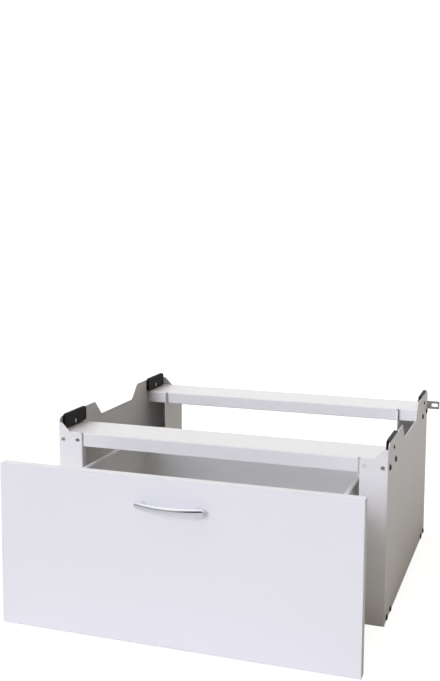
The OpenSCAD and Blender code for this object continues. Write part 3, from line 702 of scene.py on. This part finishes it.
SHEETS = ("side_panel_left", "side_panel_right", "top_rail_rear",
          "bottom_rail_front", "bottom_rail_rear", "drawer_tray", "drawer_back", "drawer_inner_front")
RUBBERS = ("foot_pads", "side_pad_front_left", "side_pad_front_right",
           "side_pad_rear_left", "side_pad_rear_right", "front_buffers")


def slot_cut(x):
    """Tool that opens the front top rail behind the adjusting slot of a flange."""
    radius, stretch, reach = 2.9, 1.0, 5
    flange_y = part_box("side_panel_right")[0].y / MM
    tool = turned("slot_cut", [(radius, -reach), (radius, reach)], 24)
    tool.data.transform(Matrix.Translation(Vector((x, flange_y, SLOT_Z)) * MM)
                        @ Matrix.Rotation(math.pi / 2, 4, "X"))
    open_mesh(tool)
    for side in (-1, 1):
        pick("VERT", lambda place, normal: (place.x - x) * side > 0.01)
        bpy.ops.transform.translate(value=(side * stretch * MM, 0, 0))
    close_mesh()
    return tool


for sheet in SHEETS:
    formed(sheet, SHEET_EDGE, COAT)
formed("top_rail_front", SHEET_EDGE, COAT, cuts=[slot_cut(-SLOT_X), slot_cut(SLOT_X)])
for bracket in ("wall_bracket_left", "wall_bracket_right"):
    formed(bracket, BRACKET_EDGE, ZINC)
for block in RUBBERS:
    formed(block, RUBBER_EDGE, RUBBER, segments=3)
formed("drawer_front", 0, BOARD)
for side in ("left", "right"):
    for member in ("slide_outer_", "slide_middle_", "slide_inner_"):
        formed(member + side, SLIDE_EDGE, DRAWN_ZINC, segments=1)
    for run in ("outer_", "inner_"):
        formed(run + "ball_strips_" + side, STRIP_EDGE, STRIP, segments=1)
        formed(run + "balls_" + side, 0, BALL_STEEL, angle=60)
fit_fasteners()
handle()


# ---- Studio ----

# Warm for the soft light that the floor throws back, and neutral as it is seen.
FLOOR_WARM, FLOOR_NEUTRAL = (0.97, 0.93, 0.86, 1), (0.88, 0.91, 0.94, 1)
FLOOR_SIZE = 60

# Azimuth, elevation and spread of each light in degrees, and its colour times its strength.
SUNS = {
    "key_light": (-20, 20, 30, (1.72, 1.70, 1.86)),
    "left_front_light": (-45, 45, 45, (0.56, 0.62, 0.80)),
    "left_light": (-110, 20, 40, (0.78, 0.72, 0.60)),
    "top_light": (0, 80, 60, (0.84, 0.78, 0.70)),
    "back_light": (150, 35, 45, (0.27, 0.23, 0.17)),
}


def studio_floor(seen_white, glow_level):
    """Pale floor. The camera sees seen_white of the floor's own glow mixed into it, so that only soft
    shadows show."""
    select_only()
    bpy.ops.mesh.primitive_plane_add(size=FLOOR_SIZE, location=(0, 0, 0))
    floor = bpy.context.object
    floor.name = "studio_floor"
    finish = Finish("studio_white", {"Roughness": 0.9, "Specular IOR Level": 0.1})
    camera_ray = finish.node("ShaderNodeLightPath", output="Is Camera Ray")
    soft_ray = finish.node("ShaderNodeLightPath", output="Is Diffuse Ray")
    finish.feed({"Base Color": finish.mix(soft_ray, FLOOR_NEUTRAL, FLOOR_WARM)})
    glow = finish.node("ShaderNodeEmission", None, {"Color": tint(glow_level)})
    blend = finish.node("ShaderNodeMixShader", None, {0: camera_ray * seen_white, 2: glow})
    finish.tree.links.new(finish.shader.outputs[0], blend.socket.node.inputs[1])
    finish.tree.links.new(blend.socket, finish.tree.nodes["Material Output"].inputs["Surface"])
    floor.data.materials.append(finish.material)


def soft_sun(name, azimuth, elevation, spread, colour):
    """Soft light from far off. Azimuth 0 is in front and grows to the right. Mirror surfaces see the
    studio's walls in its place."""
    turn, rise = math.radians(azimuth), math.radians(elevation)
    source = Vector((math.sin(turn) * math.cos(rise), -math.cos(turn) * math.cos(rise), math.sin(rise)))
    lamp = bpy.data.lights.new(name, "SUN")
    lamp.energy = max(colour)
    lamp.color = [channel / max(colour) for channel in colour]
    lamp.angle = math.radians(spread)
    holder = bpy.data.objects.new(name, lamp)
    holder.visible_glossy = False
    bpy.context.scene.collection.objects.link(holder)
    holder.rotation_mode = "QUATERNION"
    holder.rotation_quaternion = source.to_track_quat("Z", "Y")


def studio_world(level, mirrored, backdrop, ceiling):
    """Even light of that level all round. Mirror surfaces see a bright backdrop and ceiling, the level
    mirrored elsewhere, and a dark wall low down in front, to the right. The camera sees white."""
    wall_turn, wall_dark, skirting_dark = math.radians(24), 0.98, 0.8
    world = bpy.data.worlds.new("studio")
    world.use_nodes = True
    bpy.context.scene.world = world
    sky = Graph(world.node_tree)
    toward = sky.node("ShaderNodeTexCoord", output="Generated")
    east, north, height = (sky.node("ShaderNodeSeparateXYZ", None, {0: toward}, output=axis)
                           for axis in range(3))
    ahead = east * math.sin(wall_turn) - north * math.cos(wall_turn)
    wall = sky.ramp(ahead, 0.78, 0.95) * (1 - sky.ramp(height, 0.5, 0.75))
    skirting = (1 - sky.ramp(height, 0.12, 0.3)) * (1 - sky.ramp(north, -0.3, 0.1)) * skirting_dark
    lit = mirrored + (backdrop - mirrored) * sky.ramp(north, -0.1, 0.5)
    lit = lit + (ceiling - mirrored) * sky.ramp(height, 0.5, 0.8)
    mirror = lit * (1 - wall_dark * wall) * (1 - skirting)
    camera_ray = sky.node("ShaderNodeLightPath", output="Is Camera Ray")
    glossy_ray = sky.node("ShaderNodeLightPath", output="Is Glossy Ray")
    strength = camera_ray + (1 - camera_ray) * (glossy_ray * mirror + (1 - glossy_ray) * level)
    background = sky.tree.nodes["Background"]
    background.inputs["Color"].default_value = tint(1)
    sky.give(background.inputs["Strength"], strength)


def photo_camera():
    """Camera where the photograph was taken from, found from the edges of the frame and the board."""
    image_w, image_h = 440, 681
    focal_px, centre_px = 999.05, (198.89, 323.08)
    yaw, pitch, roll = -0.3432, 0.1191, 0.0035
    place = (0.56995, -1.82943, 0.73308)
    sensor = 36.0
    forward = Vector((math.sin(yaw) * math.cos(pitch), math.cos(yaw) * math.cos(pitch), -math.sin(pitch)))
    right = Vector((math.cos(yaw), -math.sin(yaw), 0))
    up = right.cross(forward)
    rolled_right = math.cos(roll) * right + math.sin(roll) * up
    rolled_up = math.cos(roll) * up - math.sin(roll) * right
    data = bpy.data.cameras.new("photo_camera")
    data.sensor_width = sensor
    data.lens = focal_px / image_h * sensor
    data.shift_x = (image_w / 2 - centre_px[0]) / image_h
    data.shift_y = (centre_px[1] - image_h / 2) / image_h
    camera = bpy.data.objects.new("photo_camera", data)
    bpy.context.scene.collection.objects.link(camera)
    camera.matrix_world = Matrix.Translation(place) @ Matrix(
        (rolled_right, rolled_up, -forward)).transposed().to_4x4()
    bpy.context.scene.camera = camera


studio_floor(seen_white=0.5, glow_level=1.7)
studio_world(level=0.01, mirrored=0.8, backdrop=1.8, ceiling=1.1)
for light, settings in SUNS.items():
    soft_sun(light, *settings)
photo_camera()
bpy.context.scene.view_settings.view_transform = "Standard"
